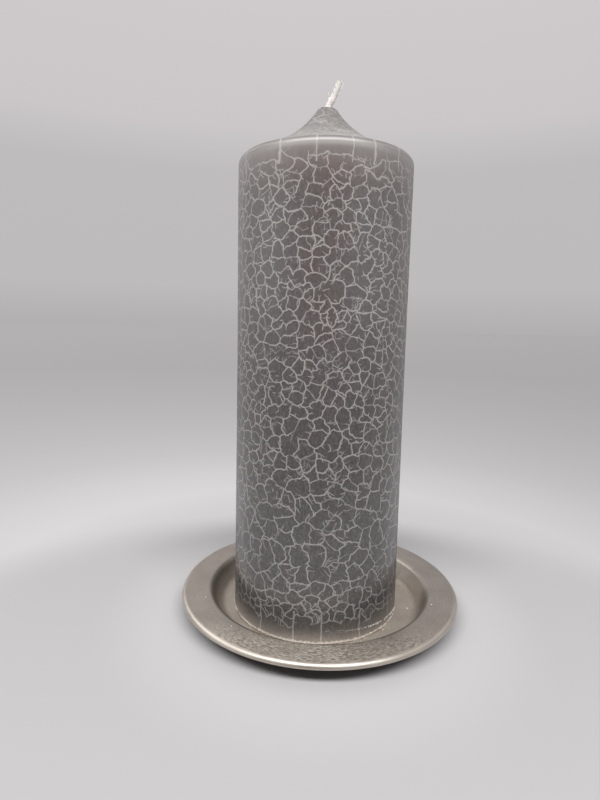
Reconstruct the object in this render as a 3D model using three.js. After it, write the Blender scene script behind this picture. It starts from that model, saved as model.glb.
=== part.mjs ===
// Pillar candle standing in the sunk well of a round pressed metal plate.
// Millimetres, +Z up, origin on the table under the middle of the plate.

import * as THREE from 'three';

// Plate: one pressed sheet with a flat well, a sloping wall, a flat rim and a turned down edge
const plateRadius = 60;
const rimHeight = 9.4;
const sheet = 1.0;
const wellFloorRadius = 42.8;
const wellMouthRadius = 47.7;
const wellFloorBend = 4.0;
const wellMouthBend = 2.5;
const edgeBend = 1.3;
const edgeDrop = 2.0;

// Candle: where it stands in the well, and its outline from the foot to the tip of the hollow cone.
// The coat hangs thicker towards the foot, so the wall swells out below the swell's height.
const candleShift = -1.7;
const candleRadius = 35;
const footSwell = 0.7;
const swellHeight = 110;
const footBevel = 0.9;
const wallHeight = 184.2;
const shoulderRadius = 2.9;
const shoulderTurn = THREE.MathUtils.degToRad(54);
const tipHeight = 208.2;
const tipRadius = 3.1;

// Dyed and crackled coat, open at the foot, round a plain wax core that shows as a collar at the tip
const coatWall = 1.6;
const coatTipDepth = 2.8;
const coreGap = 0.3;
const collarRadius = 1.75;
const collarTopRadius = 1.45;
const collarHeight = 1.8;

// Wick: straight up the core's bore from just above the foot, then leaning over above the collar
const wickRadius = 0.9;
const wickGap = 0.25;
const wickFoot = 1.5;
const wickFree = 9.7;
const wickLean = 3.7;

// How far the cone's curve is pulled outwards and up, between its tip and the shoulder
const coneBendShares = [0.29, 0.34];

// How the wick's free end bends: straight up for a share of its height, then level with its own lean
const wickRiseShare = 0.35;
const wickBackShares = [0.55, 0.35];

// How finely the round forms are divided
const turns = 60;
const bendSteps = 3;
const coneSteps = 8;
const wickSides = 8;
const wickSteps = 70;

const plateMetal = new THREE.MeshStandardMaterial({ color: 0x9c948c, roughness: 0.34, metalness: 1.0 });
const coatWax = new THREE.MeshStandardMaterial({ color: 0x6a6566, roughness: 0.38, metalness: 0.0 });
const coreWax = new THREE.MeshStandardMaterial({ color: 0xcfc7bd, roughness: 0.55, metalness: 0.0 });
const wickCotton = new THREE.MeshStandardMaterial({ color: 0xece8e0, roughness: 0.95, metalness: 0.0 });

function named(name, geometry, material) {
  const mesh = new THREE.Mesh(geometry, material);
  mesh.name = name;
  return mesh;
}

// A profile of points (radius, height) turned round the Z axis
function turned(profile) {
  return new THREE.LatheGeometry(profile, turns).rotateX(Math.PI / 2);
}

function closed(profile) {
  return [...profile, profile[0].clone()];
}

// A run of straight lines whose corners are rounded, as points that each know their normal
function bentLine(corners) {
  const line = [];
  corners.forEach(({ at, bend }, i) => {
    const into = at.clone().sub((corners[i - 1] ?? corners[i]).at).normalize();
    const out = (corners[i + 1] ?? corners[i]).at.clone().sub(at).normalize();
    if (!bend) {
      const along = i > 0 ? into : out;
      line.push({ at, normal: new THREE.Vector2(-along.y, along.x) });
      return;
    }
    const turn = Math.atan2(into.cross(out), into.dot(out));
    const radius = Math.sign(turn) * bend;
    const normal = new THREE.Vector2(-into.y, into.x);
    const centre = at.clone().addScaledVector(into, -radius * Math.tan(turn / 2)).addScaledVector(normal, radius);
    for (let step = 0; step <= bendSteps; step += 1) {
      const swung = normal.clone().rotateAround(new THREE.Vector2(), turn * step / bendSteps);
      line.push({ at: centre.clone().addScaledVector(swung, -radius), normal: swung });
    }
  });
  return line;
}

function plate() {
  const floor = sheet / 2;
  const top = rimHeight - sheet / 2;
  const edge = plateRadius - sheet / 2;
  const middle = bentLine([
    { at: new THREE.Vector2(0, floor) },
    { at: new THREE.Vector2(wellFloorRadius, floor), bend: wellFloorBend },
    { at: new THREE.Vector2(wellMouthRadius, top), bend: wellMouthBend },
    { at: new THREE.Vector2(edge, top), bend: edgeBend },
    { at: new THREE.Vector2(edge, rimHeight - edgeDrop) },
  ]);
  const face = (offset) => middle.map(({ at, normal }) => at.clone().addScaledVector(normal, offset));
  return named('plate', turned([...face(-sheet / 2), ...face(sheet / 2).reverse()]), plateMetal);
}

// The wall, shoulder and cone, lying the given depth inside the candle's face and ending at the tip given
function headOutline(depth, tip) {
  const radius = shoulderRadius - depth;
  const centre = new THREE.Vector2(candleRadius - shoulderRadius, wallHeight);
  const outline = [];
  for (let step = 0; step <= bendSteps; step += 1) {
    const angle = shoulderTurn * step / bendSteps;
    outline.push(new THREE.Vector2(radius, 0).rotateAround(new THREE.Vector2(), angle).add(centre));
  }
  const foot = outline.pop();
  const pull = new THREE.Vector2(
    THREE.MathUtils.lerp(tip.x, foot.x, coneBendShares[0]),
    THREE.MathUtils.lerp(foot.y, tip.y, coneBendShares[1]),
  );
  return [...outline, ...new THREE.QuadraticBezierCurve(foot, pull, tip).getPoints(coneSteps)];
}

function coat() {
  const hole = collarRadius + coreGap;
  const footRadius = candleRadius + footSwell;
  const inner = headOutline(coatWall, new THREE.Vector2(hole, tipHeight - coatTipDepth));
  return named('dipped_coat', turned(closed([
    new THREE.Vector2(candleRadius - coatWall, 0),
    new THREE.Vector2(footRadius - footBevel, 0),
    new THREE.Vector2(footRadius, footBevel),
    new THREE.Vector2(candleRadius, swellHeight),
    ...headOutline(0, new THREE.Vector2(tipRadius, tipHeight)),
    new THREE.Vector2(hole, tipHeight),
    ...inner.reverse(),
  ])), coatWax);
}

function core() {
  const bore = wickRadius + wickGap;
  const face = coatWall + coreGap;
  return named('wax_core', turned(closed([
    new THREE.Vector2(bore, 0),
    new THREE.Vector2(candleRadius - face, 0),
    ...headOutline(face, new THREE.Vector2(collarRadius, tipHeight - coatTipDepth - coreGap)),
    new THREE.Vector2(collarRadius, tipHeight),
    new THREE.Vector2(collarTopRadius, tipHeight + collarHeight),
    new THREE.Vector2(bore, tipHeight + collarHeight),
  ])), coreWax);
}

function wick() {
  const bend = tipHeight + collarHeight;
  const rise = wickFree - collarHeight;
  const start = new THREE.Vector3(0, 0, bend);
  const end = new THREE.Vector3(wickLean, 0, bend + rise);
  const path = new THREE.CurvePath();
  path.add(new THREE.LineCurve3(new THREE.Vector3(0, 0, wickFoot), start));
  path.add(new THREE.CubicBezierCurve3(
    start,
    new THREE.Vector3(0, 0, bend + wickRiseShare * rise),
    new THREE.Vector3(end.x - wickBackShares[0] * wickLean, 0, end.z - wickBackShares[1] * rise),
    end,
  ));
  const section = new THREE.Shape();
  for (let side = 0; side < wickSides; side += 1) {
    const corner = new THREE.Vector2(wickRadius, 0).rotateAround(new THREE.Vector2(), 2 * Math.PI * side / wickSides);
    if (side) section.lineTo(corner.x, corner.y);
    else section.moveTo(corner.x, corner.y);
  }
  const geometry = new THREE.ExtrudeGeometry(section, { steps: wickSteps, extrudePath: path });
  return named('wick', geometry, wickCotton);
}

function candle() {
  const group = new THREE.Group().add(coat(), core(), wick());
  group.position.set(candleShift, 0, sheet);
  return group;
}

export default new THREE.Group().add(plate(), candle());
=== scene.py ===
"""A crackled pillar candle standing in the well of a round satin metal plate.

Sizes are in metres: MM turns the millimetres of the real object into them. Every piece is made
where it lies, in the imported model's frame, so no piece has a transform of its own.
"""

import math
import random

import bmesh
import bpy
from mathutils import Matrix, Vector, geometry, noise


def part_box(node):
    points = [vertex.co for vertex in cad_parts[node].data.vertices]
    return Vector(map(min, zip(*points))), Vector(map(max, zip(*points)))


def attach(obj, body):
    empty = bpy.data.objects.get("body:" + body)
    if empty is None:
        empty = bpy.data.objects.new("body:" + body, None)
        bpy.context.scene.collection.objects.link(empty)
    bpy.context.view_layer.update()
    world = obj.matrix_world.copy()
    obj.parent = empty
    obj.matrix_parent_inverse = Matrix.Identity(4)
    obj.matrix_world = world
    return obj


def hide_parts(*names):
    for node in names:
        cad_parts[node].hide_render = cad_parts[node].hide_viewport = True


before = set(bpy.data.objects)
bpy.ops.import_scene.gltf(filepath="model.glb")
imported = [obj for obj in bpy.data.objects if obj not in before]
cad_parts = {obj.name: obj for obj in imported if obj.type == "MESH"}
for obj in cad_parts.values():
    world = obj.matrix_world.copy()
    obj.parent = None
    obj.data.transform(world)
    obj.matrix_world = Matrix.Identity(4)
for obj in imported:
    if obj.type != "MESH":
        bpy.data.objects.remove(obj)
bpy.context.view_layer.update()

MM = 0.001
TURN = 2 * math.pi
# The way round the upright axis to the side that faces the camera
FRONT = math.radians(-90)

# Plate, as pressed from one sheet
PLATE_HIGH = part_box("plate")[1]
PLATE_RADIUS = PLATE_HIGH.x
RIM_HEIGHT = PLATE_HIGH.z
SHEET = 1.0 * MM
WELL_FLOOR_RADIUS = 42.8 * MM
WELL_MOUTH_RADIUS = 47.7 * MM
WELL_FLOOR_BEND = 4.0 * MM
WELL_MOUTH_BEND = 2.5 * MM
EDGE_BEND = 1.3 * MM
EDGE_DROP = 2.0 * MM

# Candle, from its foot on the well's floor to the coat's tip. The wall swells below SWELL_HEIGHT.
COAT_LOW, COAT_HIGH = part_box("dipped_coat")
CANDLE_AXIS = Vector(((COAT_LOW.x + COAT_HIGH.x) / 2, 0, 0))
FOOT_RADIUS = (COAT_HIGH.x - COAT_LOW.x) / 2
FOOT_SWELL = 0.7 * MM
SWELL_HEIGHT = 110 * MM
CANDLE_RADIUS = FOOT_RADIUS - FOOT_SWELL
FOOT = COAT_LOW.z
TIP = COAT_HIGH.z
FOOT_BEVEL = 0.9 * MM
WALL_HEIGHT = 184.2 * MM
SHOULDER_RADIUS = 2.9 * MM
SHOULDER_TURN = math.radians(54)
TIP_RADIUS = 3.1 * MM
TIP_ROUNDING = 0.7 * MM
TIP_MELTED = 0.8 * MM
COAT_WALL = 1.6 * MM
COAT_TIP_DEPTH = 2.8 * MM
CORE_GAP = 0.3 * MM
CONE_BEND_SHARES = (0.29, 0.34)

# The soft cone leans a little to the right, and its flat top slopes down that way
LEAN_HEIGHT = 40 * MM
TIP_LEAN = 0.15 * MM
SLOPE_HEIGHT = 10 * MM
TIP_SLOPE = 0.06

# Pale wax that climbs the wick out of the tip
COLLAR_RADIUS = 1.75 * MM
COLLAR_TOP_RADIUS = 1.4 * MM
COLLAR_LEAN = 0.36
CORE_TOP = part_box("wax_core")[1].z

# Wick: strands twisted together, tight in the wax up the candle's axis, and looser and thicker
# where they leave it and lean over
WICK_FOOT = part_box("wick")[0].z
WICK_RADIUS = 0.9 * MM
WICK_BORE = 1.15 * MM
WICK_FREE = 9.35 * MM
WICK_LEAN = 4.2 * MM
WICK_UP_SHARES = (0.04, 0.18)
WICK_BACK_SHARES = (0.25, 0.5)
LOOSE_RADIUS = 1.3 * MM
STRANDS = 4
STRAND_SHARE = 0.67
STRAND_TWIST = 8 * MM
SPLAY_LENGTH = 1.6 * MM
LOOSENING = 2 * MM

# How finely the round forms are divided: sides round the axis, and steps along the outlines
PLATE_SIDES = 360
COAT_SIDES = 256
CORE_SIDES = 64
BEND_STEPS = 12
BEVEL_STEPS = 5
SWELL_STEPS = 90
WALL_STEPS = 60
HEAD_STEPS = (12, 60)
INNER_HEAD_STEPS = (4, 16)
COLLAR_STEPS = 12
WICK_STEPS = 200
FREE_STEPS = 30

# Points of an outline that are closer than this count as one
SAME_PLACE = 1e-7
# Faces that meet at more than this angle have a crease between them
CREASE = math.radians(40)


class Graph:
    """Adds the nodes of one material or world, and links them."""

    def __init__(self, tree):
        self.tree = tree
        tree.nodes.clear()

    def node(self, kind, *sources, **settings):
        """A new node, fed from its first socket on with numbers, colours or other sockets."""
        made = self.tree.nodes.new(kind)
        for name, value in settings.items():
            setattr(made, name, value)
        for socket, source in zip(made.inputs, sources):
            self.feed(socket, source)
        return made

    def feed(self, socket, source):
        if isinstance(source, bpy.types.NodeSocket):
            self.tree.links.new(source, socket)
        else:
            socket.default_value = source

    def fill(self, node, sources):
        """Feeds a node's sockets by their names."""
        for name, source in sources.items():
            self.feed(node.inputs[name], source)

    def math(self, operation, *sources):
        return self.node("ShaderNodeMath", *sources, operation=operation).outputs[0]

    def sloped(self, value, slope, offset):
        return self.math("MULTIPLY_ADD", value, slope, offset)

    def chained(self, operation, total, *sources):
        for source in sources:
            total = self.math(operation, total, source)
        return total

    def product(self, *sources):
        return self.chained("MULTIPLY", *sources)

    def most(self, *sources):
        return self.chained("MAXIMUM", *sources)

    def vector(self, operation, *sources):
        made = self.node("ShaderNodeVectorMath", *sources, operation=operation)
        return made.outputs["Value" if operation in ("DOT_PRODUCT", "LENGTH") else "Vector"]

    def scaled(self, vector, factor):
        made = self.node("ShaderNodeVectorMath", vector, operation="SCALE")
        self.feed(made.inputs["Scale"], factor)
        return made.outputs[0]

    def parts(self, vector):
        return self.node("ShaderNodeSeparateXYZ", vector).outputs

    def joined(self, x, y, z):
        return self.node("ShaderNodeCombineXYZ", x, y, z).outputs[0]

    def noise(self, where, size, detail=2.0, output="Fac"):
        """Cloudy noise whose blobs are about the given size in metres."""
        made = self.node("ShaderNodeTexNoise")
        self.fill(made, {"Vector": where, "Scale": 1 / size, "Detail": detail})
        return made.outputs[output]

    def shaken(self, where, size, reach, detail=1.0):
        """The place moved to and fro by cloudy noise, by up to about half the reach."""
        push = self.vector("SUBTRACT", self.noise(where, size, detail, "Color"), (0.5, 0.5, 0.5))
        return self.vector("ADD", where, self.scaled(push, reach))

    def ease(self, value, low, high):
        """0 at low and 1 at high, with a smooth step between them; low may be the larger one."""
        span = (high, low, 1.0, 0.0) if low > high else (low, high, 0.0, 1.0)
        made = self.node("ShaderNodeMapRange", value, *span, interpolation_type="SMOOTHSTEP")
        return made.outputs["Result"]

    def mix(self, factor, first, second, blend="MIX"):
        made = self.node("ShaderNodeMix", data_type="RGBA", blend_type=blend)
        self.feed(made.inputs["Factor"], factor)
        self.feed(made.inputs[6], first)
        self.feed(made.inputs[7], second)
        return made.outputs[2]

    def tint(self, mask, colour, by):
        """The colour, multiplied by another one where the mask is 1."""
        return self.mix(mask, colour, self.mix(1.0, colour, by, "MULTIPLY"))

    def ramp(self, value, stops):
        """Colours at given values, blended in between."""
        low, high = stops[0][0], stops[-1][0]
        share = self.math("DIVIDE", self.math("SUBTRACT", value, low), high - low)
        made = self.node("ShaderNodeValToRGB", share)
        elements = made.color_ramp.elements
        while len(elements) < len(stops):
            elements.new(0.5)
        for element, (at, colour) in zip(elements, stops):
            element.position = (at - low) / (high - low)
            element.color = colour
        return made.outputs[0]


def rgb(red, green, blue):
    """A colour given as it shows on screen, from 0 to 255, as the linear values that nodes take."""
    def linear(value):
        share = value / 255
        return share / 12.92 if share <= 0.04045 else ((share + 0.055) / 1.055) ** 2.4
    return (linear(red), linear(green), linear(blue), 1.0)


def grey(value):
    """A screen grey with the faint pink of the table and the room."""
    return rgb(value + 1, value - 1, value)


def even(value):
    """A neutral grey given as its linear value, which may be over 1."""
    return (value, value, value, 1.0)


def material(name):
    """A new material with a Principled shader: itself, its graph, the shader and the place."""
    made = bpy.data.materials.new(name)
    made.use_nodes = True
    graph = Graph(made.node_tree)
    shader = graph.node("ShaderNodeBsdfPrincipled")
    graph.node("ShaderNodeOutputMaterial", shader.outputs[0])
    place = graph.node("ShaderNodeTexCoord").outputs["Object"]
    return made, graph, shader, place


def bump(graph, shader, height, distance):
    made = graph.node("ShaderNodeBump")
    graph.fill(made, {"Strength": 1.0, "Distance": distance, "Height": height})
    graph.feed(shader.inputs["Normal"], made.outputs[0])


# Outlines, turned meshes and tubes

def held(share):
    """A share kept from 0 to 1."""
    return min(max(share, 0), 1)


def arc(centre, radius, start, end, steps):
    angles = [start + (end - start) * step / steps for step in range(steps + 1)]
    return [Vector((centre[0] + radius * math.cos(a), centre[1] + radius * math.sin(a))) for a in angles]


def run(start, end, steps):
    return [Vector(start).lerp(Vector(end), step / steps) for step in range(steps + 1)]


def curve(start, pull, end, steps):
    shares = [step / steps for step in range(steps + 1)]
    return [Vector(start).lerp(pull, t).lerp(Vector(pull).lerp(end, t), t) for t in shares]


def without_doubles(profile):
    kept = [profile[0]]
    for point in profile[1:]:
        if (point - kept[-1]).length > SAME_PLACE:
            kept.append(point)
    return kept


def turned(name, profile, sides, axis=Vector((0, 0, 0)), shape=None):
    """A closed outline of (radius, height) points turned round an upright axis, then shaped."""
    verts, rings = [], []
    for radius, height in without_doubles(profile):
        if radius < SAME_PLACE:
            rings.append([len(verts)])
            verts.append(Vector((axis.x, axis.y, height)))
            continue
        rings.append(range(len(verts), len(verts) + sides))
        for i in range(sides):
            out = Vector((math.cos(TURN * i / sides), math.sin(TURN * i / sides), 0))
            verts.append(axis + out * radius + Vector((0, 0, height)))
    if shape:
        verts = [shape(vert) for vert in verts]
    faces = []
    on_axis = len(rings[0]) == 1
    for low, high in zip(rings, rings[1:] if on_axis else rings[1:] + rings[:1]):
        if len(low) == 1 and len(high) == 1:
            continue
        for i in range(sides):
            j = (i + 1) % sides
            if len(low) == 1:
                faces.append((low[0], high[j], high[i]))
            elif len(high) == 1:
                faces.append((low[i], low[j], high[0]))
            else:
                faces.append((low[i], low[j], high[j], high[i]))
    return mesh_object(name, verts, faces)


def skin(rings, sides):
    """The faces of a closed tube whose rings of corners follow one another."""
    faces = []
    for low in range(0, (rings - 1) * sides, sides):
        high = low + sides
        for corner in range(sides):
            after = (corner + 1) % sides
            faces.append((low + corner, low + after, high + after, high + corner))
    return faces + [tuple(range(sides))[::-1], tuple(range(high, high + sides))]


def tube(points, radii, sides):
    """The corners and faces of a closed tube along points that run mostly across the Y axis."""
    verts = []
    for i, (at, radius) in enumerate(zip(points, radii)):
        along = (points[min(i + 1, len(points) - 1)] - points[max(i - 1, 0)]).normalized()
        over = along.cross(Vector((0, 1, 0))).normalized()
        side = along.cross(over)
        for corner in range(sides):
            angle = TURN * corner / sides
            verts.append(at + (over * math.cos(angle) + side * math.sin(angle)) * radius)
    return verts, skin(len(points), sides)


def joined_shells(shells):
    """The corners and faces of several shells as those of one mesh."""
    verts, faces = [], []
    for more_verts, more_faces in shells:
        faces += [tuple(corner + len(verts) for corner in face) for face in more_faces]
        verts += more_verts
    return verts, faces


def mesh_object(name, verts, faces):
    """A smooth object with its normals outwards."""
    mesh = bpy.data.meshes.new(name)
    mesh.from_pydata([tuple(v) for v in verts], [], faces)
    mesh.validate()
    work = bmesh.new()
    work.from_mesh(mesh)
    bmesh.ops.recalc_face_normals(work, faces=work.faces)
    work.to_mesh(mesh)
    work.free()
    mesh.shade_smooth()
    mesh.set_sharp_from_angle(angle=CREASE)
    made = bpy.data.objects.new(name, mesh)
    bpy.context.scene.collection.objects.link(made)
    return made


def finish_piece(piece, made, body, slot, *nodes):
    piece.data.materials.append(made)
    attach(piece, body)
    if nodes:
        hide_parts(*nodes)


# The plate

def bent_line(corners, steps):
    """A line of straight runs with rounded corners, as pairs of point and normal."""
    line = []
    for i, (at, bend) in enumerate(corners):
        before = corners[i - 1][0] if i else None
        after = corners[i + 1][0] if i + 1 < len(corners) else None
        into = (at - before).normalized() if before else (after - at).normalized()
        if not bend:
            line.append((at, Vector((-into.y, into.x))))
            continue
        out = (after - at).normalized()
        turn = math.atan2(into.x * out.y - into.y * out.x, into.dot(out))
        radius = math.copysign(bend, turn)
        normal = Vector((-into.y, into.x))
        centre = at - into * radius * math.tan(turn / 2) + normal * radius
        for step in range(steps + 1):
            swung = Matrix.Rotation(turn * step / steps, 2) @ normal
            line.append((centre - swung * radius, swung))
    return line


def make_plate():
    floor, top, edge = SHEET / 2, RIM_HEIGHT - SHEET / 2, PLATE_RADIUS - SHEET / 2
    middle = bent_line([
        (Vector((0, floor)), 0),
        (Vector((WELL_FLOOR_RADIUS, floor)), WELL_FLOOR_BEND),
        (Vector((WELL_MOUTH_RADIUS, top)), WELL_MOUTH_BEND),
        (Vector((edge, top)), EDGE_BEND),
        (Vector((edge, RIM_HEIGHT - EDGE_DROP)), 0),
    ], BEND_STEPS)
    under = [at - normal * SHEET / 2 for at, normal in middle]
    over = [at + normal * SHEET / 2 for at, normal in middle]
    plate = turned("candle_plate", under + over[::-1], PLATE_SIDES)
    finish_piece(plate, satin_metal(), "plate", "plate_metal", "plate")


def satin_metal():
    """Warm grey sheet with a fine round grain: short hair lines that follow the plate's edge. Glints on the
    front of the rim, a brighter edge and shade on the well's wall are painted.
    """
    made, graph, shader, place = material("satin metal")
    x, y, z = graph.parts(place)
    radius = graph.vector("LENGTH", graph.joined(x, y, 0.0))
    round_way = graph.vector("NORMALIZE", graph.joined(x, y, 0.0))
    ring = graph.joined(0.0, 0.0, graph.math("ADD", radius, z))

    def grain(across, along, detail):
        """Noise drawn out to the given length round the plate, and as wide as given across."""
        turns_apart = graph.scaled(round_way, across * PLATE_RADIUS / along)
        return graph.noise(graph.vector("ADD", turns_apart, ring), across, detail)

    flecks = grain(0.3 * MM, 1.7 * MM, 3.0)
    drawn = grain(0.5 * MM, 12 * MM, 3.0)
    clouds = graph.noise(place, 11 * MM, 3.0)
    tone = graph.mix(graph.ease(clouds, 0.3, 0.7), rgb(170, 162, 153), rgb(180, 173, 164))
    shade = graph.mix(graph.ease(drawn, 0.25, 0.75), even(0.96), even(1.04))
    tone = graph.tint(1.0, tone, shade)

    # Painted glints: bright and dark flecks on the front of the rim, where the lamp's highlight falls, and
    # a turned edge painted brighter as highlight
    on_edge = graph.ease(radius, PLATE_RADIUS - 2.0 * MM, PLATE_RADIUS - 1.0 * MM)
    off_edge = graph.math("SUBTRACT", 1.0, on_edge)
    in_front = graph.sloped(graph.ease(y, -34 * MM, -50 * MM), 0.88, 0.12)
    painted_glints = graph.mix(graph.ease(flecks, 0.35, 0.65), (0.84, 0.82, 0.79, 1), (1.9, 1.9, 1.88, 1))
    tone = graph.tint(graph.product(in_front, off_edge), tone, painted_glints)
    # Painted highlight: the turned edge is painted brighter to widen the lamp's highlight on it
    tone = graph.tint(on_edge, tone, even(1.25))

    # The well: a paler floor, a wall darkened towards the front with painted shade that stands for its dark
    # reflection, and smudges at the back
    in_well = graph.ease(radius, WELL_MOUTH_RADIUS + 1 * MM, WELL_MOUTH_RADIUS - 0.5 * MM)
    in_depth = graph.ease(radius, WELL_MOUTH_RADIUS - 1 * MM, WELL_FLOOR_RADIUS + 1.5 * MM)
    tone = graph.tint(in_depth, tone, (1.3, 1.3, 1.29, 1))
    # Painted shade: the wall darkens towards the front left and front right, where its dark reflection
    # falls
    to_front_left = graph.ease(graph.vector("DOT_PRODUCT", round_way, (-0.8, -0.6, 0.0)), 0.1, 0.7)
    to_front_right = graph.ease(graph.vector("DOT_PRODUCT", round_way, (0.82, -0.57, 0.0)), 0.78, 0.95)
    painted_wall_shade = graph.most(to_front_left, to_front_right)
    up_wall = graph.product(in_well, graph.ease(radius, WELL_FLOOR_RADIUS, WELL_MOUTH_RADIUS - 1.2 * MM))
    tone = graph.mix(graph.product(up_wall, painted_wall_shade, 0.7), tone, rgb(84, 73, 64))
    smudges = graph.product(
        graph.ease(graph.noise(place, 4 * MM, 1.0), 0.6, 0.78),
        in_well,
        graph.ease(y, 8 * MM, 16 * MM),
    )
    tone = graph.mix(graph.product(smudges, 0.5), tone, rgb(104, 95, 86))

    # The underside, painted darker as shade, so that less light bounces into the shadow under the rim
    facing = graph.parts(graph.node("ShaderNodeNewGeometry").outputs["True Normal"])[2]
    tone = graph.mix(graph.ease(facing, -0.1, -0.5), tone, rgb(84, 78, 72))
    worn = graph.product(in_depth, graph.sloped(to_front_left, -0.1, 0.16))
    graph.fill(shader, {
        "Base Color": tone,
        "Metallic": 1.0,
        "Roughness": graph.math("ADD", graph.sloped(clouds, 0.1, 0.36), worn),
        "Anisotropic": 0.3,
        "Anisotropic Rotation": 0.25,
    })
    kept = graph.product(graph.math("SUBTRACT", 1.0, up_wall), off_edge, in_front)
    raised = graph.product(graph.math("SUBTRACT", flecks, 0.5), kept)
    bump(graph, shader, raised, 0.36 * MM)
    return made


# The candle

def head_outline(depth, tip, steps):
    """The shoulder and cone, the given depth inside the candle's face, ending at the tip given."""
    shoulder_steps, cone_steps = steps
    centre = (CANDLE_RADIUS - SHOULDER_RADIUS, FOOT + WALL_HEIGHT)
    shoulder = arc(centre, SHOULDER_RADIUS - depth, 0, SHOULDER_TURN, shoulder_steps)
    foot = shoulder[-1]
    pull = Vector((
        tip.x + CONE_BEND_SHARES[0] * (foot.x - tip.x),
        foot.y + CONE_BEND_SHARES[1] * (tip.y - foot.y),
    ))
    return shoulder + curve(foot, pull, tip, cone_steps)


def leaning(point):
    """The soft cone's lean, which carries the wick along."""
    share = held((point.z - (TIP - LEAN_HEIGHT)) / LEAN_HEIGHT)
    return point + Vector((TIP_LEAN * share, 0, 0))


def sloping(point):
    """The slope of the cone's flat top."""
    share = held((point.z - (TIP - SLOPE_HEIGHT)) / SLOPE_HEIGHT)
    return point - Vector((0, 0, TIP_SLOPE * (point.x - CANDLE_AXIS.x) * share ** 2))


def hand_dipped(point):
    """A face that waves in and out by about a tenth of a millimetre, under a leaning tip."""
    out = (point - CANDLE_AXIS) * Vector((1, 1, 0))
    angle = math.atan2(out.y, out.x)
    slow = math.sin(3 * angle + point.z / (41 * MM)) + math.sin(5 * angle - point.z / (29 * MM) + 1.3)
    lumps = noise.noise(point / (7 * MM))
    reach = (0.035 * slow + 0.05 * lumps) * MM * min(1, out.length / (10 * MM))
    return leaning(sloping(point + out.normalized() * reach))


def make_coat(wax):
    hole = COLLAR_RADIUS - 0.1 * MM
    top = TIP - TIP_MELTED
    head = head_outline(0, Vector((TIP_RADIUS, TIP)), HEAD_STEPS)
    head = [at for at in head if at.y < top - TIP_ROUNDING]
    foot_edge = (FOOT_RADIUS, FOOT + FOOT_BEVEL)
    swell_end = (CANDLE_RADIUS, FOOT + SWELL_HEIGHT)
    wall_end = (CANDLE_RADIUS, FOOT + WALL_HEIGHT)
    tip_edge = Vector((head[-1].x - TIP_ROUNDING * 0.75, top))
    outer = (
        arc((FOOT_RADIUS - FOOT_BEVEL, FOOT + FOOT_BEVEL), FOOT_BEVEL, -math.pi / 2, 0, BEVEL_STEPS)
        + run(foot_edge, swell_end, SWELL_STEPS)
        + run(swell_end, wall_end, WALL_STEPS)
        + head
        + curve(head[-1], tip_edge, Vector((hole, top)), 8)
    )
    inner_tip = Vector((COLLAR_RADIUS + CORE_GAP, TIP - COAT_TIP_DEPTH))
    inner = head_outline(COAT_WALL, inner_tip, INNER_HEAD_STEPS)[::-1]
    inner += [Vector((CANDLE_RADIUS - COAT_WALL, FOOT))]
    coat = turned("crackled_coat", outer + inner, COAT_SIDES, CANDLE_AXIS, hand_dipped)
    finish_piece(coat, wax, "candle", "coat_wax", "dipped_coat")


# The crackle: a net of pale veins in the wax. Places on it are pairs of the way round from the
# middle of the front and the way up from the foot, both along the face. The net stops short of
# the shoulder and of the foot, and only upright cracks cross the smooth bands there.
AROUND = TURN * CANDLE_RADIUS
NET_TOP = WALL_HEIGHT - 5.5 * MM
NET_FOOT = 9 * MM
VEIN_STEP = 0.5 * MM
VEIN_RISE = 0.03 * MM
VEIN_DEPTH = 0.008 * MM

# Cells at heights above the foot: their width, and the rise from one row to the next, in
# millimetres. They are tall low down, over a crumbled row at the foot.
CELL_SIZES = (
    (0, 3.4, 3.0), (14, 3.8, 3.2), (18, 5.8, 5.0), (26, 6.4, 7.2), (40, 6.4, 7.0), (56, 5.9, 5.6),
    (72, 5.4, 4.8), (90, 5.1, 4.3), (140, 5.2, 4.4), (190, 5.0, 4.3),
)

# Shares of the cells' middles that are left out and doubled, and how far each one is scattered,
# in cells and in rows
LEFT_OUT = 0.1
DOUBLED = 0.1
SCATTER = (0.38, 0.4)

# Lines between the cells: most are whole and clear, and the others are broken in the middle or
# faint. Below these draws from 0 to 1 a line is broken, or faint.
BROKEN_BELOW = 0.06
FAINT_BELOW = 0.22

# Shares of the lines at the net's ends that run out of it, of the sides of a line that have a
# side crack, and of the side cracks that fork
RUN_OUT = 0.6
SIDE_CRACKED = 0.45
FORKED = 0.45

# The finer net that shows in crumbled patches: its scale, and the share of its lines that is laid
FINE_SCALE = 0.55
FINE_LAID = 0.5

# Upright cracks over the smooth bands: their angle from the middle of the front and their width
# in millimetres
TOP_CRACKS = (
    (-58, 0.9), (-27.5, 1.7), (-4.8, 1.0), (15.3, 0.8), (28.8, 1.6), (49.5, 0.9), (76, 1.0),
    (99, 0.8), (128, 1.3), (161, 0.9), (-93, 1.0), (-121, 0.8), (-150, 1.3),
)
FOOT_CRACKS = (
    (-64, 0.8), (-36.5, 0.9), (-12.1, 0.9), (5.0, 0.9), (31.0, 0.8), (58, 0.8), (83, 0.9),
    (104, 0.8), (139, 0.9), (170, 0.8), (-88, 0.9), (-117, 0.8), (-146, 0.9),
)


def cell_size(height):
    """The width and rise of a cell at a height above the foot."""
    for low, high in zip(CELL_SIZES, CELL_SIZES[1:]):
        share = (height / MM - low[0]) / (high[0] - low[0])
        if share <= 1:
            break
    return [(low[i] + (high[i] - low[i]) * held(share)) * MM for i in (1, 2)]


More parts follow.
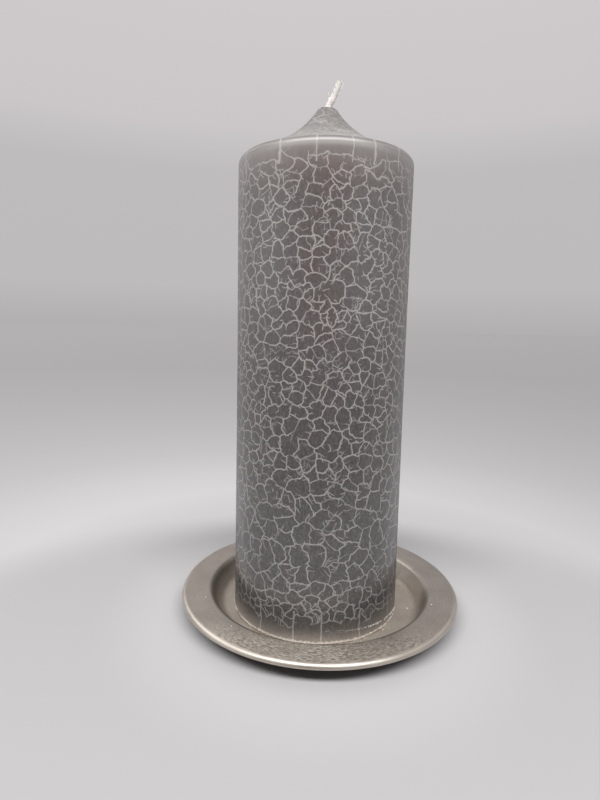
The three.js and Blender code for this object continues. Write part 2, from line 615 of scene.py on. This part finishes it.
def net_seeds(chance, scale=1):
    """The middles of the net's cells, row by row up the face, some left out and some doubled."""
    seeds = []
    height = NET_FOOT - 10 * MM
    shift = 0
    while height < NET_TOP + 12 * MM:
        width, rise = [size * scale for size in cell_size(height)]
        count = round(AROUND / width)
        shift += 0.5
        for i in range(count):
            if chance.random() < LEFT_OUT:
                continue
            way = (i + shift + chance.uniform(-SCATTER[0], SCATTER[0])) / count % 1 - 0.5
            up = height + chance.uniform(-SCATTER[1], SCATTER[1]) * rise
            seeds.append(Vector((way * AROUND, up)))
            if chance.random() < DOUBLED:
                beside = Vector((chance.uniform(-0.5, 0.5) * width, chance.uniform(-0.5, 0.5) * rise))
                seeds.append(seeds[-1] + beside)
        height += rise
    return seeds


def circle_middle(a, b, c):
    """The middle of the circle through three points."""
    first, second = b - a, c - a
    across = second * first.length_squared - first * second.length_squared
    return a + Vector((across.y, -across.x)) / (2 * first.cross(second))


def net_edges(seeds):
    """The lines halfway between neighbouring seeds: each one's two ends and the seeds beside it."""
    margin = 20 * MM
    spread = list(seeds)
    spread += [seed + Vector((AROUND, 0)) for seed in seeds if seed.x < margin - AROUND / 2]
    spread += [seed - Vector((AROUND, 0)) for seed in seeds if seed.x > AROUND / 2 - margin]
    # The last two values ask for plain triangles, and join only seeds that lie together
    net = geometry.delaunay_2d_cdt(spread, [], [], 0, 1e-8)
    corners, triangles = net[0], net[2]
    middles = {}
    for triangle in triangles:
        middle = circle_middle(*[corners[corner] for corner in triangle])
        for i in range(3):
            middles.setdefault(tuple(sorted((triangle[i], triangle[i - 1]))), []).append(middle)
    edges = []
    for (a, b), ends in middles.items():
        if len(ends) == 2 and -AROUND / 2 <= (ends[0].x + ends[1].x) / 2 < AROUND / 2:
            edges.append((*ends, corners[a], corners[b]))
    return edges


def on_face(at, lift=0):
    """The point in space of a place on the candle's face, raised by the lift."""
    turn = FRONT + at.x / CANDLE_RADIUS
    over = max(at.y - WALL_HEIGHT, 0) / SHOULDER_RADIUS
    swell = FOOT_SWELL * max(SWELL_HEIGHT - at.y, 0) / (SWELL_HEIGHT - FOOT_BEVEL)
    radius = CANDLE_RADIUS + swell - SHOULDER_RADIUS + (SHOULDER_RADIUS + lift) * math.cos(over)
    height = FOOT + min(at.y, WALL_HEIGHT) + (SHOULDER_RADIUS + lift) * math.sin(over)
    return hand_dipped(CANDLE_AXIS + Vector((math.cos(turn) * radius, math.sin(turn) * radius, height)))


def wavering(at, reach=1.0):
    """A place on the face moved a little to and fro, the same for all lines that meet there."""
    turn = at.x / CANDLE_RADIUS
    place = Vector((math.cos(turn) * CANDLE_RADIUS, math.sin(turn) * CANDLE_RADIUS, at.y))
    push = noise.noise_vector(place / (2.4 * MM)) * 0.9 + noise.noise_vector(place / (0.8 * MM)) * 0.36
    return at + Vector((push.x, push.z)) * MM * reach


def bowed(start, end, bow, waver=1.0):
    """Places on the way from start to end, bulging to one side by a share of its length."""
    across = Vector((start.y - end.y, end.x - start.x)) * bow
    steps = max(2, round((end - start).length / VEIN_STEP))
    shares = [step / steps for step in range(steps + 1)]
    return [wavering(start.lerp(end, t) + across * (4 * t * (1 - t)), waver) for t in shares]


def branch(start, towards, length, bend):
    """Places on the way of a short crack that leaves start towards another place and bends off."""
    steps = max(3, round(length / (VEIN_STEP * 0.8)))
    along = (towards - start).normalized() * length / steps
    path = [start]
    for step in range(steps):
        curl = 0.4 * noise.noise(Vector((path[-1].x, path[-1].y, 0)) / (0.8 * MM))
        along = Matrix.Rotation(bend / steps + curl, 2) @ along
        path.append(path[-1] + along)
    return path


def vein(path, widths, strength):
    """The corners and faces of a slim closed ridge along a path on the face."""
    verts = []
    last = len(path) - 1
    for i, (at, width) in enumerate(zip(path, widths)):
        along = (path[min(i + 1, last)] - path[max(i - 1, 0)]).normalized()
        side = Vector((-along.y, along.x)) * width / 2
        verts += [
            on_face(at + side, -VEIN_DEPTH),
            on_face(at, VEIN_RISE * strength),
            on_face(at - side, -VEIN_DEPTH),
        ]
    return verts, skin(len(path), 3)


def uneven(path, width):
    """Widths along a path that swell and thin from place to place."""
    return [width * (1 + 0.6 * noise.noise(Vector((at.x, at.y, 0)) / (1.3 * MM))) for at in path]


def tapering(path, width, loss=0.7):
    """Widths along a path that shrink steadily, by the given share in all."""
    last = len(path) - 1
    return [width * (1 - loss * i / last) for i in range(last + 1)]


def crumbled(at):
    """Whether a place lies in one of the patches where the net is broken up finely."""
    return noise.noise(Vector((at.x, at.y, 0)) / (9 * MM)) > 0.27


def run_out(path, upwards, chance):
    """The first part of a line on its way from the net into a smooth band."""
    loose = path if upwards else path[::-1]
    return loose[:max(3, round(len(loose) * chance.uniform(0.35, 0.7)))]


def side_cracks(path, seeds, chance):
    """Short cracks from a line towards the seeds beside it, some of them forked."""
    for towards in seeds:
        if len(path) < 5 or chance.random() > SIDE_CRACKED:
            continue
        root = path[round(chance.uniform(0.25, 0.75) * (len(path) - 1))]
        reach = (towards - root).length * chance.uniform(0.4, 0.95)
        aim = root + Matrix.Rotation(chance.uniform(-0.8, 0.8), 2) @ (towards - root)
        way = branch(root, aim, reach, chance.uniform(-1.4, 1.4))
        yield way, tapering(way, chance.uniform(0.7, 0.95) * MM, 0.5), chance.uniform(0.6, 1.0)
        if chance.random() < FORKED:
            fork = way[len(way) // 2]
            aim = fork + Matrix.Rotation(chance.choice((-0.9, 0.9)), 2) @ (way[-1] - fork)
            twig = branch(fork, aim, reach * 0.5, chance.uniform(-0.8, 0.8))
            yield twig, tapering(twig, 0.7 * MM), 0.6


def net_lines(chance):
    """The lines between the cells and their side cracks."""
    for start, end, seed, other_seed in net_edges(net_seeds(chance)):
        low, high = sorted((start, end), key=lambda corner: corner.y)
        low_seed, high_seed = sorted((seed.y, other_seed.y))
        path = bowed(low, high, chance.uniform(-0.2, 0.2))
        kind = chance.random()
        above = low_seed > NET_TOP
        if above or high_seed < NET_FOOT:
            near = low.y < NET_TOP + 2 * MM if above else high.y > NET_FOOT - 1 * MM
            loose = run_out(path, above, chance)
            if near and kind < RUN_OUT:
                yield loose, tapering(loose, 0.9 * MM), 0.8
            continue
        if kind < BROKEN_BELOW:
            for loose in (path, path[::-1]):
                loose = loose[:max(3, len(loose) // 3)]
                yield loose, tapering(loose, 0.9 * MM), 0.8
        elif kind < FAINT_BELOW:
            yield path, uneven(path, 0.8 * MM), 0.7
        else:
            yield path, uneven(path, chance.uniform(0.7, 0.98) * MM), 1.0
        yield from side_cracks(path, (seed, other_seed), chance)


def fine_lines(chance):
    """The lines of a finer net, in the crumbled patches alone."""
    for start, end, seed, other_seed in net_edges(net_seeds(chance, FINE_SCALE)):
        if NET_FOOT < seed.y < NET_TOP and crumbled(start) and chance.random() < FINE_LAID:
            path = bowed(start, end, chance.uniform(-0.25, 0.25))
            yield path, uneven(path, 0.7 * MM), chance.uniform(0.5, 0.7)


def band_cracks(chance):
    """The upright cracks over the smooth bands."""
    for cracks, low, high in (
        (TOP_CRACKS, NET_TOP - 1 * MM, WALL_HEIGHT + SHOULDER_RADIUS * SHOULDER_TURN),
        (FOOT_CRACKS, 0.8 * MM, NET_FOOT + 4 * MM),
    ):
        for degrees, width in cracks:
            way_round = math.radians(degrees) * CANDLE_RADIUS
            bow = chance.uniform(-0.05, 0.05)
            path = bowed(Vector((way_round, low)), Vector((way_round, high)), bow, 0.35)
            yield path, uneven(path, width * MM), 1.0


def make_crackle(wax):
    """All veins as one mesh. How pale the wax is rises from each vein's sides to its crest."""
    chance = random.Random(11)
    # Without a seed, noise_vector starts from another place in each run
    noise.seed_set(11)
    lines = [*net_lines(chance), *fine_lines(chance), *band_cracks(chance)]
    veins = mesh_object("crackle_veins", *joined_shells([vein(*line) for line in lines]))
    paleness = []
    for path, widths, strength in lines:
        paleness += [0.0, strength, 0.0] * len(path)
    veins.data.attributes.new("paleness", "FLOAT", "POINT").data.foreach_set("value", paleness)
    finish_piece(veins, wax, "candle", "coat_wax")


# The wax's colour at heights above the foot, in millimetres, with painted light and shade in it: a pale
# warm foot that is painted reflection of the plate, dark wax that grows warmer and paler up the wall where
# the painted light is brighter, a pale painted highlight on the shoulder's turn with a thin painted shade
# line above it, and a paler cone painted as lit from above
WAX_AND_LIGHT_TONES = (
    (0.0, (150, 141, 133)), (1.1, (125, 118, 111)), (3.3, (103, 96, 91)), (7.5, (82, 78, 75)),
    (14, (68, 65, 65)), (41, (71, 68, 68)), (77, (79, 75, 75)), (114, (88, 82, 82)),
    (140, (93, 87, 86)), (165, (93, 87, 86)), (171, (97, 89, 87)), (176, (109, 100, 97)),
    (180, (127, 118, 115)), (181.8, (132, 124, 121)), (183.4, (150, 144, 141)),
    (184.8, (150, 145, 142)), (185.6, (138, 133, 130)), (186.1, (120, 116, 114)),
    (186.8, (176, 172, 169)), (189, (166, 162, 159)), (196, (143, 139, 136)), (209, (132, 127, 125)),
)


def rubbed_and_lit_foot(graph, local, z):
    """Chalky edge where the foot has rubbed on the plate, painted paler still as its bevel catching light,
    which also lifts the shade where the foot meets the plate.
    """
    rough_height = graph.sloped(graph.noise(local, 0.8 * MM, 3.0), 2.0 * MM, z)
    x, y = graph.parts(local)[:2]
    radius = graph.vector("LENGTH", graph.joined(x, y, 0.0))
    outside = graph.ease(radius, FOOT_RADIUS - 1.4 * MM, FOOT_RADIUS - 0.9 * MM)
    return graph.product(graph.ease(rough_height, 2.5 * MM, 2.0 * MM), outside)


def wax_and_light_tone(graph, local, z):
    """The wax's colour with painted light and shade by height, whose bounds between heights are a little
    uneven.
    """
    uneven_z = graph.sloped(graph.noise(local, 6 * MM, 2.0), 0.6 * MM, z)
    stops = [(height * MM + 0.3 * MM, rgb(*shown)) for height, shown in WAX_AND_LIGHT_TONES]
    return graph.ramp(uneven_z, stops)


def crackled_wax():
    """Dark grey wax under a smooth skin, pale in the veins, with a rubbed foot and a dull cone, and with
    painted light: a highlight on the shoulder, a warm reflection, and paler wax high up and at the foot.
    """
    made, graph, shader, place = material("crackled wax")
    # Places are seen from the middle of the candle's foot
    local = graph.vector("SUBTRACT", place, (CANDLE_AXIS.x, CANDLE_AXIS.y, FOOT))
    x, y, z = graph.parts(local)
    tone = wax_and_light_tone(graph, local, z)
    cloud = graph.noise(local, 3 * MM, 3.0)
    tone = graph.tint(1.0, tone, graph.mix(cloud, even(0.86), even(1.14)))

    # A painted warm reflection up the middle of the front and back, in the upper half
    painted_reflection = graph.product(
        graph.ease(graph.noise(local, 9 * MM, 2.0), 0.42, 0.6),
        graph.ease(graph.math("ABSOLUTE", x), 13 * MM, 5 * MM),
        graph.ease(z, 60 * MM, 95 * MM),
        graph.ease(z, WALL_HEIGHT - 2 * MM, WALL_HEIGHT - 8 * MM),
    )
    tone = graph.tint(graph.product(painted_reflection, 0.6), tone, (1.1, 0.93, 0.93, 1))

    # Fine upright streaks and grains in the skin
    hatch_place = graph.joined(x, y, graph.product(z, 0.2))
    hatch = graph.ease(graph.noise(hatch_place, 0.42 * MM, 2.0), 0.4, 0.8)
    tone = graph.mix(graph.product(hatch, 0.2), tone, rgb(150, 146, 145))
    grain = graph.ease(graph.noise(graph.shaken(local, 1.5 * MM, 1.5 * MM), 0.9 * MM, 2.0), 0.45, 0.7)
    tone = graph.mix(graph.product(grain, 0.22), tone, rgb(140, 136, 135))

    # A painted highlight: a light ring at the shoulder's turn, towards the front and the back
    ring = graph.product(
        graph.ease(z, WALL_HEIGHT - 1.6 * MM, WALL_HEIGHT - 0.2 * MM),
        graph.ease(z, WALL_HEIGHT + 1.7 * MM, WALL_HEIGHT + 0.9 * MM),
        graph.ease(graph.math("ABSOLUTE", x), 26 * MM, 12 * MM),
    )
    tone = graph.mix(ring, tone, rgb(172, 166, 162))
    on_cone = graph.ease(z, WALL_HEIGHT + 2.2 * MM, WALL_HEIGHT + 3 * MM)
    mottled = graph.mix(graph.noise(local, 1.3 * MM, 3.0), even(0.35), even(1.65))
    tone = graph.tint(on_cone, tone, mottled)
    tone = graph.mix(graph.product(cone_marks(graph, local), on_cone), tone, rgb(196, 192, 189))

    # The veins, paler high up, and the foot's rubbed edge with painted light
    vein_tone = graph.mix(graph.ease(z, 20 * MM, 140 * MM), rgb(160, 157, 155), rgb(178, 173, 170))
    vein_tone = graph.mix(graph.ease(z, NET_TOP, WALL_HEIGHT), vein_tone, rgb(192, 186, 182))
    paleness = graph.node("ShaderNodeAttribute", attribute_type="GEOMETRY", attribute_name="paleness")
    patchy = graph.sloped(graph.noise(local, 0.9 * MM, 2.0), 0.9, 0.55)
    pale = graph.ease(graph.product(paleness.outputs["Fac"], patchy), 0.08, 0.98)
    tone = graph.mix(pale, tone, vein_tone)
    tone = graph.mix(rubbed_and_lit_foot(graph, local, z), tone, rgb(193, 186, 178))

    # The skin is dull at a grazing look, on the shoulder's turn and on the cone
    facing = graph.node("ShaderNodeLayerWeight", 0.5)
    on_shoulder = graph.ease(z, WALL_HEIGHT - 1 * MM, WALL_HEIGHT + 0.5 * MM)
    beside = graph.product(on_shoulder, graph.ease(graph.math("ABSOLUTE", x), 10 * MM, 22 * MM))
    dull = graph.most(graph.ease(facing.outputs["Facing"], 0.55, 0.95), on_cone, beside)
    graph.fill(shader, {
        "Base Color": tone,
        "Roughness": graph.sloped(on_cone, 0.35, graph.sloped(cloud, 0.1, 0.30)),
        "Specular IOR Level": graph.sloped(dull, -0.3, 0.5),
        "Coat Weight": graph.sloped(dull, -0.75, 0.85),
        "Coat Roughness": graph.sloped(on_shoulder, 0.25, 0.2),
    })
    return made


def cone_marks(graph, local):
    """Faint broken cracks and pale grains."""
    made = {}
    for feature, size in (("DISTANCE_TO_EDGE", 3.6 * MM), ("F1", 1.5 * MM)):
        made[feature] = graph.node("ShaderNodeTexVoronoi", feature=feature)
        where = graph.shaken(local, 2 * MM, 2.4 * MM)
        graph.fill(made[feature], {"Vector": where, "Scale": 1 / size})
    lines = graph.ease(made["DISTANCE_TO_EDGE"].outputs["Distance"], 0.11, 0.02)
    lines = graph.product(lines, graph.ease(graph.noise(local, 5 * MM), 0.4, 0.6), 0.45)
    grain_size = graph.sloped(graph.parts(made["F1"].outputs["Color"])[1], 0.42, -0.2)
    apart = graph.math("SUBTRACT", made["F1"].outputs["Distance"], grain_size)
    return graph.most(lines, graph.product(graph.ease(apart, 0.06, -0.06), 0.7))


def make_core():
    """Plain wax inside the coat, which climbs the wick's foot out of the tip."""
    face = COAT_WALL + CORE_GAP
    inner_tip = Vector((COLLAR_RADIUS, TIP - COAT_TIP_DEPTH - CORE_GAP))
    collar_foot = (COLLAR_RADIUS, TIP - 0.9 * MM)
    collar_top = (COLLAR_TOP_RADIUS, CORE_TOP)
    outline = (
        [Vector((WICK_BORE, FOOT)), Vector((CANDLE_RADIUS - face, FOOT))]
        + head_outline(face, inner_tip, INNER_HEAD_STEPS)
        + curve(collar_foot, (COLLAR_TOP_RADIUS, TIP), collar_top, COLLAR_STEPS)
        + [Vector((WICK_RADIUS * 0.9, CORE_TOP + 0.25 * MM))]
    )
    core = turned("pale_core", outline, CORE_SIDES, CANDLE_AXIS, collar_shape)
    finish_piece(core, pale_wax(), "candle", "core_wax", "wax_core")


def collar_shape(point):
    """The collar is lumpy and leans with the wick that it climbs."""
    over = point.z - (TIP - TIP_MELTED)
    if over <= 0:
        return point
    out = (point - CANDLE_AXIS) * Vector((1, 1, 0))
    lumps = noise.noise(point / (1.1 * MM)) * 0.16 * MM
    return point + out.normalized() * lumps + Vector((TIP_LEAN + over * COLLAR_LEAN, 0, 0))


def pale_wax():
    """Undyed wax, a little translucent, with fine pits."""
    made, graph, shader, place = material("pale wax")
    clouds = graph.noise(place, 2.2 * MM, 3.0)
    pits = graph.noise(place, 0.6 * MM, 2.0)
    graph.fill(shader, {
        "Base Color": graph.mix(clouds, rgb(226, 214, 210), rgb(243, 236, 232)),
        "Roughness": graph.sloped(pits, 0.25, 0.32),
        "Subsurface Weight": 0.2,
        "Subsurface Radius": (1.2, 1.0, 0.8),
        "Subsurface Scale": 1 * MM,
    })
    bump(graph, shader, pits, 0.05 * MM)
    return made


def wick_middle():
    """The wick's middle line: straight up the core's bore, then over to the right."""
    foot = Vector((CANDLE_AXIS.x, 0, WICK_FOOT))
    bend = Vector((CANDLE_AXIS.x, 0, TIP - TIP_MELTED))
    end = Vector((CANDLE_AXIS.x + WICK_LEAN, 0, TIP + WICK_FREE))
    rise = end.z - bend.z
    up = bend + Vector((WICK_UP_SHARES[0] * WICK_LEAN, 0, WICK_UP_SHARES[1] * rise))
    back = end - Vector((WICK_BACK_SHARES[0] * WICK_LEAN, 0, WICK_BACK_SHARES[1] * rise))
    straight = [foot.lerp(bend, step / WICK_STEPS) for step in range(WICK_STEPS)]
    free = [Vector(point) for point in geometry.interpolate_bezier(bend, up, back, end, FREE_STEPS)]
    return [leaning(point) for point in straight + free]


def strand(middle, number):
    """One strand twisted round the wick's middle. It loosens out of the wax and splays at the end."""
    points, radii = [], []
    length = 0
    end = middle[-1].z
    for i, at in enumerate(middle):
        length += (at - middle[i - 1]).length if i else 0
        along = (middle[min(i + 1, len(middle) - 1)] - middle[max(i - 1, 0)]).normalized()
        over = along.cross(Vector((0, 1, 0)))
        angle = TURN * (number / STRANDS + length / STRAND_TWIST)
        splay = held(1 - (end - at.z) / SPLAY_LENGTH)
        lumps = noise.noise(Vector((number, 0, length / (0.9 * MM))))
        loose = held((at.z - TIP) / LOOSENING)
        waxed = max(0.0, 1 - abs(at.z - CORE_TOP - 0.5 * MM) / (2 * MM))
        whole = (WICK_RADIUS + (LOOSE_RADIUS - WICK_RADIUS) * loose) * (1 + 0.2 * waxed)
        reach = whole * (1 - STRAND_SHARE) + (0.2 * splay ** 2) * MM
        points.append(at + (over * math.cos(angle) + Vector((0, 1, 0)) * math.sin(angle)) * reach)
        radii.append(whole * STRAND_SHARE * (1 + 0.08 * lumps - 0.25 * splay))
    return tube(points, radii, 12)


# Loose threads of the frayed end: where each leaves the wick, in shares of the free length, and
# the way that it takes from there, in millimetres
THREADS = (
    (1.0, 0.17, ((0, 0, -0.4), (0.7, -0.2, 0.3), (1.3, -0.3, -0.1), (1.6, -0.3, -1.1), (1.5, -0.2, -2.3))),
    (0.9, 0.10, ((0, 0, 0), (0.9, -0.3, 0.3), (1.5, -0.4, -0.4), (1.3, -0.4, -1.2))),
    (1.0, 0.13, ((0, 0, -0.3), (-0.3, -0.2, 0.4), (-0.6, -0.2, 0.5), (-0.8, -0.1, 0.2))),
    (0.5, 0.13, ((0, -0.4, 0), (-1.2, -0.6, 0.2), (-1.9, -0.6, 0.8), (-1.7, -0.5, 1.5), (-0.9, -0.4, 1.5))),
    (0.62, 0.08, ((0, -0.3, 0), (1.5, -0.5, 0.1), (1.9, -0.6, -0.7))),
)


def smooth_line(points, steps):
    """A smooth curve through the points."""
    line = []
    for i in range(len(points) - 1):
        before = points[max(i - 1, 0)]
        after = points[min(i + 2, len(points) - 1)]
        first, last = points[i], points[i + 1]
        pulls = first + (last - before) / 6, last - (after - first) / 6
        line += [Vector(at) for at in geometry.interpolate_bezier(first, *pulls, last, steps + 1)][:-1]
    return line + [points[-1]]


def make_wick():
    """The twisted strands and the loose threads, as one mesh."""
    middle = wick_middle()
    shells = [strand(middle, number) for number in range(STRANDS)]
    free_from = next(i for i, at in enumerate(middle) if at.z >= TIP)
    for share, radius, way in THREADS:
        start = middle[free_from + round(share * (len(middle) - 1 - free_from))]
        line = smooth_line([start + Vector(step) * MM for step in way], 6)
        shells.append(tube(line, [radius * MM] * len(line), 6))
    wick = mesh_object("twisted_wick", *joined_shells(shells))
    finish_piece(wick, cotton(), "candle", "wick_cotton", "wick")


def cotton():
    """White cotton with fine fibres, soaked with wax where it leaves the candle, and a faint painted glow.
    """
    made, graph, shader, place = material("wick cotton")
    x, y, z = graph.parts(place)
    waxed = graph.ease(z, TIP + 4.5 * MM, TIP + 2.0 * MM)
    fibres = graph.noise(graph.joined(x, y, graph.product(z, 0.3)), 0.16 * MM, 3.0)
    dry = graph.mix(fibres, rgb(206, 203, 196), rgb(224, 221, 215))
    tone = graph.mix(waxed, dry, rgb(232, 222, 219))
    # The emission is painted light: a faint glow that brightens the wick's shaded side, though the wick is
    # no lamp
    graph.fill(shader, {
        "Base Color": tone,
        "Roughness": graph.sloped(waxed, -0.5, 0.9),
        "Sheen Weight": 0.3,
        "Emission Color": tone,
        "Emission Strength": 0.16,
    })
    return made


# Crumbs of wax

# Where single crumbs lie on the rim and in the well, and how wide they are, in millimetres
RIM_SPECKS = (
    (-46.9, -19.0, 0.75), (-32.6, -39.4, 0.6), (-48.6, -33.2, 0.35), (46.9, -17.0, 0.9),
    (47.0, -13.8, 0.3),
)
WELL_SPECKS = ((39.0, -5.6, 0.7), (-40.2, 4.0, 0.4))

# How many crumbs lie in the well beside the foot, stick to the foot's edge, and form the trail
# that sinks to the right above it
WELL_CRUMBS = 26
EDGE_CRUMBS = 300
TRAIL_CRUMBS = 200
CRUMB_SLOT = "core_wax"


def crumb(at, width, chance):
    """A lumpy grain that rests on the level of its place."""
    work = bmesh.new()
    bmesh.ops.create_icosphere(work, subdivisions=2, radius=width / 2)
    flat = chance.uniform(0.45, 0.8)
    turn = Matrix.Rotation(chance.uniform(0, TURN), 3, "Z")
    stretch = Matrix.Diagonal((chance.uniform(0.7, 1.3), chance.uniform(0.6, 1.0), flat))
    shift = Vector([chance.uniform(0, 50) for axis in range(3)])
    verts = []
    for vert in work.verts:
        lumpy = vert.co * (1 + 0.5 * noise.noise(vert.co / (width * 0.45) + shift))
        verts.append(turn @ stretch @ lumpy)
    faces = [tuple(vert.index for vert in face.verts) for face in work.faces]
    work.free()
    low = min(vert.z for vert in verts)
    return [vert + at - Vector((0, 0, low)) for vert in verts], faces


def round_candle(degrees, reach, height):
    """A place at an angle from the middle of the front, a reach from the axis and a height."""
    turn = FRONT + math.radians(degrees)
    out = Vector((math.cos(turn), math.sin(turn), 0))
    return CANDLE_AXIS + out * reach + Vector((0, 0, height))


def make_plate_crumbs(chance):
    places = [(Vector((x * MM, y * MM, RIM_HEIGHT)), size * MM) for x, y, size in RIM_SPECKS]
    places += [(Vector((x * MM, y * MM, SHEET)), size * MM) for x, y, size in WELL_SPECKS]
    for i in range(WELL_CRUMBS):
        degrees = chance.uniform(18, 75)
        reach = FOOT_RADIUS + chance.uniform(0.3, 1.0) ** 2 * 2.2 * MM
        places.append((round_candle(degrees, reach, SHEET), chance.uniform(0.14, 0.4) * MM))
    grains = [crumb(at, size, chance) for at, size in places]
    crumbs = mesh_object("plate_crumbs", *joined_shells(grains))
    finish_piece(crumbs, pale_wax(), "plate", CRUMB_SLOT)


def make_foot_crumbs(chance):
    places = []
    for i in range(EDGE_CRUMBS):
        degrees = chance.uniform(-110, 110)
        reach = FOOT_RADIUS - chance.uniform(0.0, 0.15) * MM
        size = chance.uniform(0.2, 0.45) * chance.choice((1, 1, 1.7)) * MM
        height = FOOT + chance.uniform(0.1, 0.9) * MM
        places.append((round_candle(degrees, reach, height), size))
    for i in range(TRAIL_CRUMBS):
        share = chance.random()
        height = FOOT + (5.6 - 3.4 * share + chance.gauss(0, 0.22)) * MM
        size = chance.uniform(0.18, 0.5) * (0.7 + 0.5 * share) * MM
        places.append((round_candle(8 + 66 * share, FOOT_RADIUS - 0.08 * MM, height), size))
    grains = [crumb(at, size, chance) for at, size in places]
    crumbs = mesh_object("foot_crumbs", *joined_shells(grains))
    finish_piece(crumbs, pale_wax(), "candle", CRUMB_SLOT)


# Light, floor and camera

def make_light():
    """One long soft lamp above and in front, which the camera doesn't see."""
    lamp = bpy.data.lights.new("key_light", "AREA")
    lamp.shape = "RECTANGLE"
    lamp.size, lamp.size_y = 2.0, 0.3
    lamp.energy = 25
    made = bpy.data.objects.new("key_light", lamp)
    made.location = (0, -0.86, 1.20)
    aim = Vector((0, 0, 0.06)) - made.location
    made.rotation_euler = aim.to_track_quat("-Z", "Y").to_euler()
    made.visible_camera = False
    bpy.context.scene.collection.objects.link(made)


# The far table's glow, painted light in greys at distances from the object, in metres
TABLE_GREYS = (
    (0.13, 208), (0.17, 214), (0.22, 207), (0.29, 196), (0.40, 188), (0.55, 182), (0.8, 177),
    (1.3, 173), (6.0, 176),
)


def make_stage():
    """A pale floor, painted paler close round the plate. Away from the object, and nearer behind it, it
    glows with a far table's greys: painted light that falls off with distance and a little towards the
    right.
    """
    near, far, reach = 0.13, 0.21, 20.0
    floor = turned("floor", [Vector((0, 0)), Vector((reach, 0))], 96)
    made, graph, shader, place = material("pale floor")
    x, y = graph.parts(place)[:2]
    distance = graph.vector("LENGTH", graph.joined(x, y, 0.0))
    # Painted light: the floor is paler close round the plate, offsetting the plate's shadow there
    tone = graph.mix(graph.ease(distance, 0.1, 0.065), grey(205), grey(214))
    graph.fill(shader, {"Base Color": tone, "Roughness": 0.7, "Specular IOR Level": 0.2})
    stops = [(math.log10(away), grey(shown)) for away, shown in TABLE_GREYS]
    shades = graph.ramp(graph.math("LOGARITHM", distance, 10.0), stops)
    to_right = graph.math("DIVIDE", x, graph.math("MAXIMUM", distance, 0.2))
    # In gloss the table is darker on the viewer's side
    in_gloss = graph.node("ShaderNodeLightPath").outputs["Is Glossy Ray"]
    mirrored = graph.product(in_gloss, graph.ease(y, -0.1, -0.25))
    strength = graph.sloped(mirrored, -0.8, graph.sloped(to_right, -0.06, 1.0))
    # The far floor glows: painted light in the table's greys
    painted_table_glow = graph.node("ShaderNodeEmission", shades, strength)
    behind = graph.sloped(graph.math("MAXIMUM", y, 0.0), 0.8, distance)
    share = graph.ease(behind, near, far)
    both = graph.node("ShaderNodeMixShader", share, shader.outputs[0], painted_table_glow.outputs[0])
    out = next(node for node in graph.tree.nodes if node.type == "OUTPUT_MATERIAL")
    graph.feed(out.inputs["Surface"], both.outputs[0])
    floor.data.materials.append(made)


def make_world():
    """A pale room round the table, darker towards the viewer, that also shows in gloss."""
    world = bpy.data.worlds.new("studio")
    world.use_nodes = True
    bpy.context.scene.world = world
    graph = Graph(world.node_tree)
    x, y, z = graph.parts(graph.node("ShaderNodeTexCoord").outputs["Generated"])
    seen = graph.ramp(z, [
        (0.0, grey(177)), (0.07, grey(188)), (0.26, grey(189)), (0.33, rgb(203, 199, 200)),
        (0.5, rgb(207, 203, 204)),
    ])
    level = graph.math("MAXIMUM", graph.vector("LENGTH", graph.joined(x, y, 0.0)), 0.01)
    to_viewer = graph.vector("DOT_PRODUCT", graph.joined(x, y, 0.0), (-0.14, -0.99, 0.0))
    to_front = graph.math("DIVIDE", to_viewer, level)
    sides = graph.mix(graph.ease(z, 0.1, 0.3), (0.82, 0.82, 0.83, 1), even(0.6))
    room = graph.mix(graph.ease(to_front, 0.5, 1.02), sides, (0.05, 0.038, 0.036, 1))
    room = graph.mix(graph.ease(z, 0.5, 0.8), room, even(0.5))
    mirrored = graph.mix(graph.ease(y, -0.05, 0.25), room, seen)

    # One window on each side, the weaker one on the right
    windows = graph.product(
        graph.ease(graph.math("ABSOLUTE", x), 0.5, 0.68),
        graph.ease(z, 0.34, 0.46),
        graph.ease(z, 0.8, 0.7),
    )
    to_right = graph.ease(x, -0.35, 0.35)
    mirrored = graph.mix(windows, mirrored, graph.mix(to_right, even(2.2), even(1.1)))

    # The room that lights dull faces is dimmer, and darkest low down towards the viewer
    soft = graph.mix(graph.ease(z, 0.1, 0.8), even(0.08), even(0.26))
    low_in_front = graph.product(graph.ease(to_front, 0.2, 0.9), graph.ease(z, 0.5, 0.2))
    soft = graph.mix(low_in_front, soft, even(0.03))
    path = graph.node("ShaderNodeLightPath").outputs
    mirrored = graph.scaled(mirrored, graph.sloped(to_right, -0.24, 1.15))
    lit = graph.mix(path["Is Glossy Ray"], soft, mirrored)
    sky = graph.node("ShaderNodeBackground", graph.mix(path["Is Camera Ray"], lit, seen))
    graph.node("ShaderNodeOutputWorld", sky.outputs[0])


def make_camera():
    """The camera that was fitted to the photograph, with its focal length in picture pixels."""
    lens_pixels = 530
    image_height = 800
    lens = bpy.data.cameras.new("camera")
    lens.sensor_width = 36
    lens.lens = lens.sensor_width * lens_pixels / image_height
    lens.clip_start = 10 * MM
    made = bpy.data.objects.new("camera", lens)
    yaw, pitch, roll = math.radians(-2.57), math.radians(-7.93), math.radians(1.21)
    tilt = Matrix.Rotation(math.pi / 2 + pitch, 4, "X")
    turn = Matrix.Rotation(-yaw, 4, "Z") @ tilt @ Matrix.Rotation(roll, 4, "Z")
    made.matrix_world = Matrix.Translation((0, -225.3 * MM, 122.7 * MM)) @ turn
    bpy.context.scene.collection.objects.link(made)
    bpy.context.scene.camera = made


make_camera()
make_plate()
dark_wax = crackled_wax()
make_coat(dark_wax)
make_crackle(dark_wax)
make_core()
make_wick()
crumb_chance = random.Random(7)
make_plate_crumbs(crumb_chance)
make_foot_crumbs(crumb_chance)
make_stage()
make_world()
make_light()

bpy.context.scene.view_settings.view_transform = "Standard"
